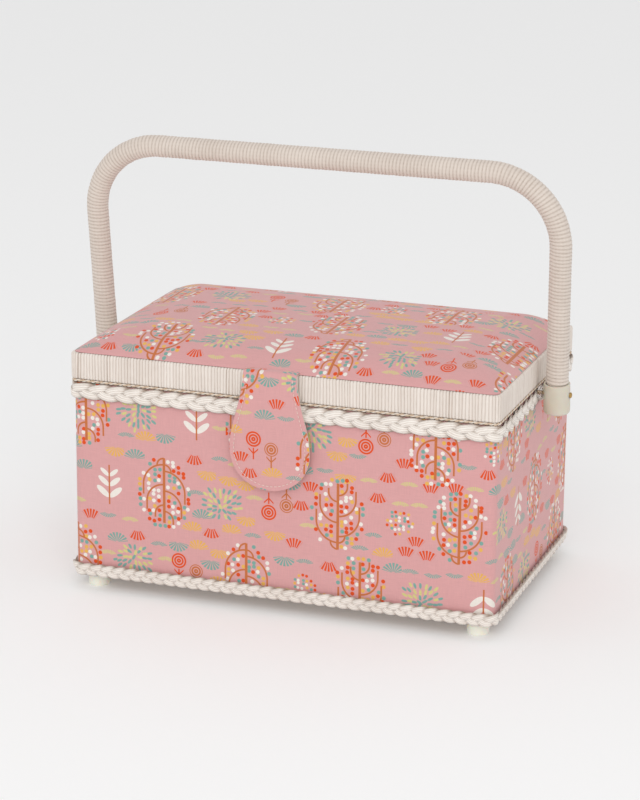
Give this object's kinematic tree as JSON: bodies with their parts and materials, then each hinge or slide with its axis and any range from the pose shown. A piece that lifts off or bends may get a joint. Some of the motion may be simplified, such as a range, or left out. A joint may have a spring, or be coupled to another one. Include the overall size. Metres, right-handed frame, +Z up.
{
  "type": "sewing box with trays",
  "caption": "Fabric-covered rectangular sewing box with a padded hinged lid, cord-wrapped swing handle, clasp flap, feet and lift-out trays.",
  "frame": {"origin": "centre of the base of the bounding box, on the plane that the four feet stand on", "axes": "+X along the box's length to its right-hand side seen from the front, +Y to the rear where the lid hinges are, +Z up; the front with the clasp flap faces -Y"},
  "size_m": [0.347, 0.2016, 0.3022],
  "materials": {
    "board_wood": "matte",
    "rattan_core": "matte",
    "printed_cotton": "matte",
    "plain_cotton": "matte",
    "tray_cotton": "matte",
    "braid_cord": "matte",
    "wrap_cord": "matte",
    "foam": "matte",
    "ivory_plastic": "satin",
    "clear_nylon": "satin",
    "brass": "satin",
    "steel": "satin"
  },
  "bodies": {
    "body": {"front_panel": "board_wood", "back_panel": "board_wood", "left_panel": "board_wood", "right_panel": "board_wood", "bottom_panel": "board_wood", "body_cover": "printed_cotton", "body_lining": "plain_cotton", "top_braid": "braid_cord", "bottom_braid": "braid_cord", "foot_front_left": "ivory_plastic", "foot_front_right": "ivory_plastic", "foot_rear_left": "ivory_plastic", "foot_rear_right": "ivory_plastic", "foot_screw_front_left": "steel", "foot_screw_front_right": "steel", "foot_screw_rear_left": "steel", "foot_screw_rear_right": "steel", "hinge_left_body_leaf": "brass", "hinge_left_pin": "brass", "hinge_right_body_leaf": "brass", "hinge_right_pin": "brass", "pivot_rivet_left": "brass", "pivot_rivet_right": "brass", "pivot_spacer_left": "clear_nylon", "pivot_spacer_right": "clear_nylon", "pivot_washer_left": "brass", "pivot_washer_right": "brass", "snap_stud": "steel", "tray_ledge_front": "board_wood", "tray_ledge_rear": "board_wood"},
    "lid": {"hinge_left_lid_leaf": "brass", "hinge_right_lid_leaf": "brass", "lid_board": "board_wood", "lid_cover": "printed_cotton", "lid_foam": "foam", "lid_frame_front": "board_wood", "lid_frame_left": "board_wood", "lid_frame_rear": "board_wood", "lid_frame_right": "board_wood", "lid_lining": "plain_cotton", "rim_twine": "wrap_cord", "rim_twine_rear": "wrap_cord", "rim_wrap": "wrap_cord"},
    "handle": {"handle_core": "rattan_core", "handle_wrap": "wrap_cord", "handle_cap_left": "ivory_plastic", "handle_cap_right": "ivory_plastic"},
    "flap": {"flap_outer": "printed_cotton", "flap_backing": "plain_cotton", "snap_socket": "steel"},
    "left_tray": {"left_tray": "tray_cotton", "left_tray_cross_divider": "tray_cotton", "left_tray_long_divider": "tray_cotton"},
    "right_tray": {"right_tray": "tray_cotton", "right_tray_cross_divider": "tray_cotton", "right_tray_long_divider": "tray_cotton"}
  },
  "joints": [
    {"name": "lid_hinge", "type": "hinge", "parent": "body", "child": "lid", "pos_m": [0, 0.0988, 0.147], "axis": [-1, 0, 0], "range_deg": [0, 100]},
    {"name": "handle_swing", "type": "hinge", "parent": "body", "child": "handle", "pos_m": [0, 0, 0.1443], "axis": [1, 0, 0], "range_deg": [0, 121]},
    {"name": "flap_hinge", "type": "hinge", "parent": "lid", "child": "flap", "pos_m": [-0.005, -0.09985, 0.1674], "axis": [-1, 0, 0], "range_deg": [0, 120]},
    {"name": "left_tray_lift", "type": "slide", "parent": "body", "child": "left_tray", "axis": [0, 0, 1], "range_m": [0, 0.049]},
    {"name": "right_tray_lift", "type": "slide", "parent": "body", "child": "right_tray", "axis": [0, 0, 1], "range_m": [0, 0.049]}
  ],
  "couplings": [
    {"joint": "handle_swing", "follows": "lid_hinge", "ratio": 1.2},
    {"joint": "left_tray_lift", "follows": "lid_hinge", "m_per_rad": 0.028},
    {"joint": "right_tray_lift", "follows": "lid_hinge", "m_per_rad": 0.028}
  ]
}
